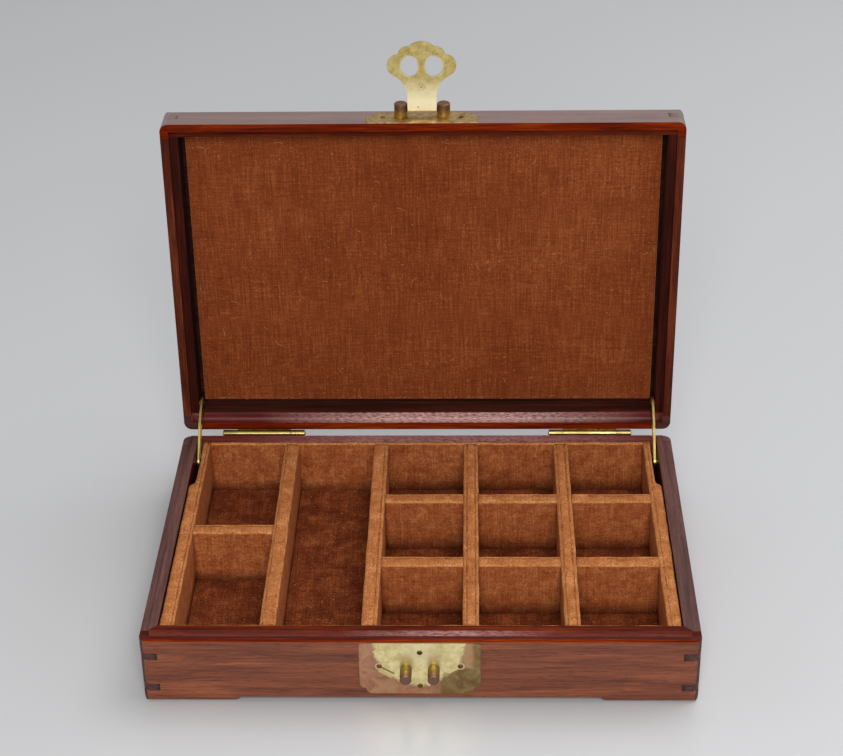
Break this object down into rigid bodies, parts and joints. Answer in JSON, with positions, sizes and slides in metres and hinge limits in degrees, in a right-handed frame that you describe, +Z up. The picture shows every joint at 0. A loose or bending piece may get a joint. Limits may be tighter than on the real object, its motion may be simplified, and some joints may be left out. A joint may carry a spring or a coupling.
{
  "type": "jewellery box",
  "caption": "Low hardwood jewellery box with a hinged lid, slotted brass lid stays, a lobed hasp over lock posts and a velvet insert of compartments.",
  "frame": {"origin": "centre of the overall bounding box in X and Y, at the height of the feet", "axes": "+X to the right along the width, +Y from the front to the hinges, +Z up"},
  "size_m": [0.254, 0.205, 0.2481],
  "materials": {
    "hardwood": "polished dark reddish brown",
    "hardwood_panel": "polished dark brown",
    "lid_velvet": "brown velvet, short pile",
    "wall_velvet": "brown velvet, short pile",
    "floor_velvet": "dark brown velvet, short pile",
    "polished_brass": "polished, lightly worn",
    "plate_brass": "dulled, with darker stains",
    "dark_brass": "dark patina"
  },
  "bodies": {
    "base": {"base_front_board": "hardwood", "base_back_board": "hardwood", "base_left_board": "hardwood", "base_right_board": "hardwood", "base_bottom_panel": "hardwood_panel", "base_lock_plate": "plate_brass", "left_lock_post": "dark_brass", "right_lock_post": "dark_brass", "base_plate_nail_left": "plate_brass", "base_plate_nail_right": "plate_brass", "base_plate_nail_top": "plate_brass", "base_plate_nail_bottom": "plate_brass", "left_hinge_base_leaf": "polished_brass", "right_hinge_base_leaf": "polished_brass", "left_hinge_pin": "polished_brass", "right_hinge_pin": "polished_brass", "left_stay_guide_screw": "polished_brass", "right_stay_guide_screw": "polished_brass"},
    "lid": {"lid_front_board": "hardwood", "lid_back_board": "hardwood", "lid_left_board": "hardwood", "lid_right_board": "hardwood", "lid_top_panel": "hardwood_panel", "lid_lining": "lid_velvet", "lid_lock_plate": "plate_brass", "left_hasp_post": "dark_brass", "right_hasp_post": "dark_brass", "hasp_pin": "polished_brass", "lid_plate_nail_left": "plate_brass", "lid_plate_nail_right": "plate_brass", "left_hinge_lid_leaf": "polished_brass", "right_hinge_lid_leaf": "polished_brass", "left_stay_pivot": "polished_brass", "right_stay_pivot": "polished_brass"},
    "hasp": {"hasp": "polished_brass"},
    "left_stay": {"left_stay_arm": "polished_brass"},
    "right_stay": {"right_stay_arm": "polished_brass"},
    "insert": {"insert_floor": "floor_velvet", "insert_left_wall": "wall_velvet", "insert_right_wall": "wall_velvet", "insert_front_wall": "wall_velvet", "insert_back_wall": "wall_velvet", "long_divider_1": "wall_velvet", "long_divider_2": "wall_velvet", "long_divider_3": "wall_velvet", "long_divider_4": "wall_velvet", "left_short_divider_1": "wall_velvet", "short_divider_a_1": "wall_velvet", "short_divider_a_2": "wall_velvet", "short_divider_b_1": "wall_velvet", "short_divider_b_2": "wall_velvet", "short_divider_c_1": "wall_velvet", "short_divider_c_2": "wall_velvet"}
  },
  "joints": [
    {"name": "lid_hinge", "type": "hinge", "parent": "base", "child": "lid", "pos_m": [0, 0.08074, 0.03515], "axis": [-1, 0, 0], "range_deg": [-91, 0]},
    {"name": "hasp_hinge", "type": "hinge", "parent": "lid", "child": "hasp", "pos_m": [0, 0.0926, 0.21337], "axis": [-1, 0, 0], "range_deg": [-90, 118]},
    {"name": "left_stay_pivot", "type": "hinge", "parent": "lid", "child": "left_stay", "pos_m": [-0.118, 0.08784, 0.04943], "axis": [-1, 0, 0], "range_deg": [0, 49]},
    {"name": "right_stay_pivot", "type": "hinge", "parent": "lid", "child": "right_stay", "pos_m": [0.118, 0.08784, 0.04943], "axis": [-1, 0, 0], "range_deg": [0, 49]},
    {"name": "insert_lift", "type": "slide", "parent": "base", "child": "insert", "axis": [0, 0, 1], "range_m": [0, 0.01]}
  ],
  "couplings": [
    {"joint": "left_stay_pivot", "follows": "lid_hinge", "ratio": -0.53},
    {"joint": "right_stay_pivot", "follows": "lid_hinge", "ratio": -0.53}
  ]
}
